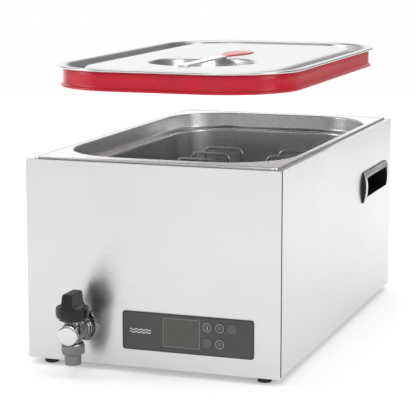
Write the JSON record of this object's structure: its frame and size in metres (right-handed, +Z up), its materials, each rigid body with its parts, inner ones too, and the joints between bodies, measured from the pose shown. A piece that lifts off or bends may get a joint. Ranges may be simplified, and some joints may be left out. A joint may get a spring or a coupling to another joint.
{
  "type": "sous vide water bath",
  "caption": "Rectangular steel water bath with a lift-off sealed lid, front drain tap, flush key panel, recessed side handles and a wire bag rack in its tank.",
  "frame": {"origin": "centre of the footprint, tap knob and reset button included, on the plane of the feet", "axes": "+Z up, the front with tap and keys faces -Y, +X is to the right seen from the front"},
  "size_m": [0.3466, 0.648, 0.3775],
  "materials": {
    "brushed_steel": "horizontally brushed stainless steel",
    "plain_steel": "mill finish stainless steel",
    "tank_steel": "satin drawn stainless steel",
    "wire_steel": "electropolished stainless wire",
    "screw_steel": "bright steel",
    "chrome": "polished chrome plate",
    "black_plastic": "satin black moulding",
    "key_plastic": "satin dark grey",
    "overlay": "satin dark grey film on plastic",
    "lens": "tinted acrylic window",
    "grey_plastic": "grey moulding",
    "board": "green circuit board",
    "black_rubber": "black rubber",
    "red_silicone": "glossy red silicone",
    "heater_silicone": "orange silicone heater mat",
    "insulation": "white fibre board",
    "heat_sink": "extruded aluminium",
    "brass": "nickelled brass blades",
    "ptfe": "white fluoropolymer",
    "reset_plastic": "red plastic"
  },
  "bodies": {
    "casing": {"casing_wrap": "brushed_steel", "front_panel": "brushed_steel", "base_plate": "plain_steel", "rubber_feet": "black_rubber", "foot_screws": "screw_steel", "casing_screws": "screw_steel", "handle_bezel_left": "brushed_steel", "handle_cup_left": "black_plastic", "handle_bezel_right": "brushed_steel", "handle_cup_right": "black_plastic", "tank": "tank_steel", "drain_elbow": "tank_steel", "drain_gasket": "black_rubber", "drain_lock_nut": "screw_steel", "heater_mats": "heater_silicone", "insulation_slabs": "insulation", "temperature_probe": "screw_steel", "probe_clip": "plain_steel", "control_overlay": "overlay", "display_window": "lens", "key_carrier": "grey_plastic", "key_switches": "grey_plastic", "control_board": "board", "display_module": "grey_plastic", "board_spacers": "grey_plastic", "power_board": "board", "power_board_spacers": "grey_plastic", "relays": "grey_plastic", "heat_sink": "heat_sink", "power_inlet": "black_plastic", "inlet_pins": "brass", "inlet_screws": "screw_steel", "limit_switch": "black_plastic", "limit_switch_nut": "screw_steel", "tap_rosette": "chrome", "tap_nut": "chrome", "tap_body": "chrome", "tap_end_cap": "chrome", "tap_seat": "ptfe", "tap_gland": "chrome", "tap_spout": "chrome"},
    "lid": {"lid_pan": "tank_steel", "lid_seal": "red_silicone", "lid_strap": "tank_steel"},
    "vent_plug": {"lid_vent_plug": "red_silicone"},
    "tap_turn": {"tap_knob": "black_plastic", "tap_knob_screw": "screw_steel", "tap_stem": "screw_steel", "tap_ball": "screw_steel"},
    "rack": {"rack_frame": "wire_steel", "rack_dividers": "wire_steel"},
    "limit_reset": {"reset_button": "reset_plastic"},
    "key_heat_cap": {"key_heat": "key_plastic"},
    "key_up_cap": {"key_up": "key_plastic"},
    "key_power_cap": {"key_power": "key_plastic"},
    "key_timer_cap": {"key_timer": "key_plastic"},
    "key_down_cap": {"key_down": "key_plastic"}
  },
  "joints": [
    {"name": "lid_lift", "type": "slide", "parent": "casing", "child": "lid", "axis": [0, 0, 1], "range_m": [-0.083, 0.05]},
    {"name": "vent_pull", "type": "slide", "parent": "lid", "child": "vent_plug", "axis": [0, 0, 1], "range_m": [0, 0.006]},
    {"name": "tap_turn", "type": "hinge", "parent": "casing", "child": "tap_turn", "pos_m": [-0.088, -0.303, 0.056], "axis": [0, 0, 1], "range_deg": [0, 90]},
    {"name": "rack_lift", "type": "slide", "parent": "casing", "child": "rack", "axis": [0, 0, 1], "range_m": [0, 0.035]},
    {"name": "limit_reset", "type": "slide", "parent": "casing", "child": "limit_reset", "axis": [0, -1, 0], "range_m": [0, 0.002], "stiffness_N_per_m": 1500},
    {"name": "key_heat", "type": "slide", "parent": "casing", "child": "key_heat_cap", "axis": [0, 1, 0], "range_m": [0, 0.0005], "stiffness_N_per_m": 3000},
    {"name": "key_up", "type": "slide", "parent": "casing", "child": "key_up_cap", "axis": [0, 1, 0], "range_m": [0, 0.0005], "stiffness_N_per_m": 3000},
    {"name": "key_power", "type": "slide", "parent": "casing", "child": "key_power_cap", "axis": [0, 1, 0], "range_m": [0, 0.0005], "stiffness_N_per_m": 3000},
    {"name": "key_timer", "type": "slide", "parent": "casing", "child": "key_timer_cap", "axis": [0, 1, 0], "range_m": [0, 0.0005], "stiffness_N_per_m": 3000},
    {"name": "key_down", "type": "slide", "parent": "casing", "child": "key_down_cap", "axis": [0, 1, 0], "range_m": [0, 0.0005], "stiffness_N_per_m": 3000}
  ]
}
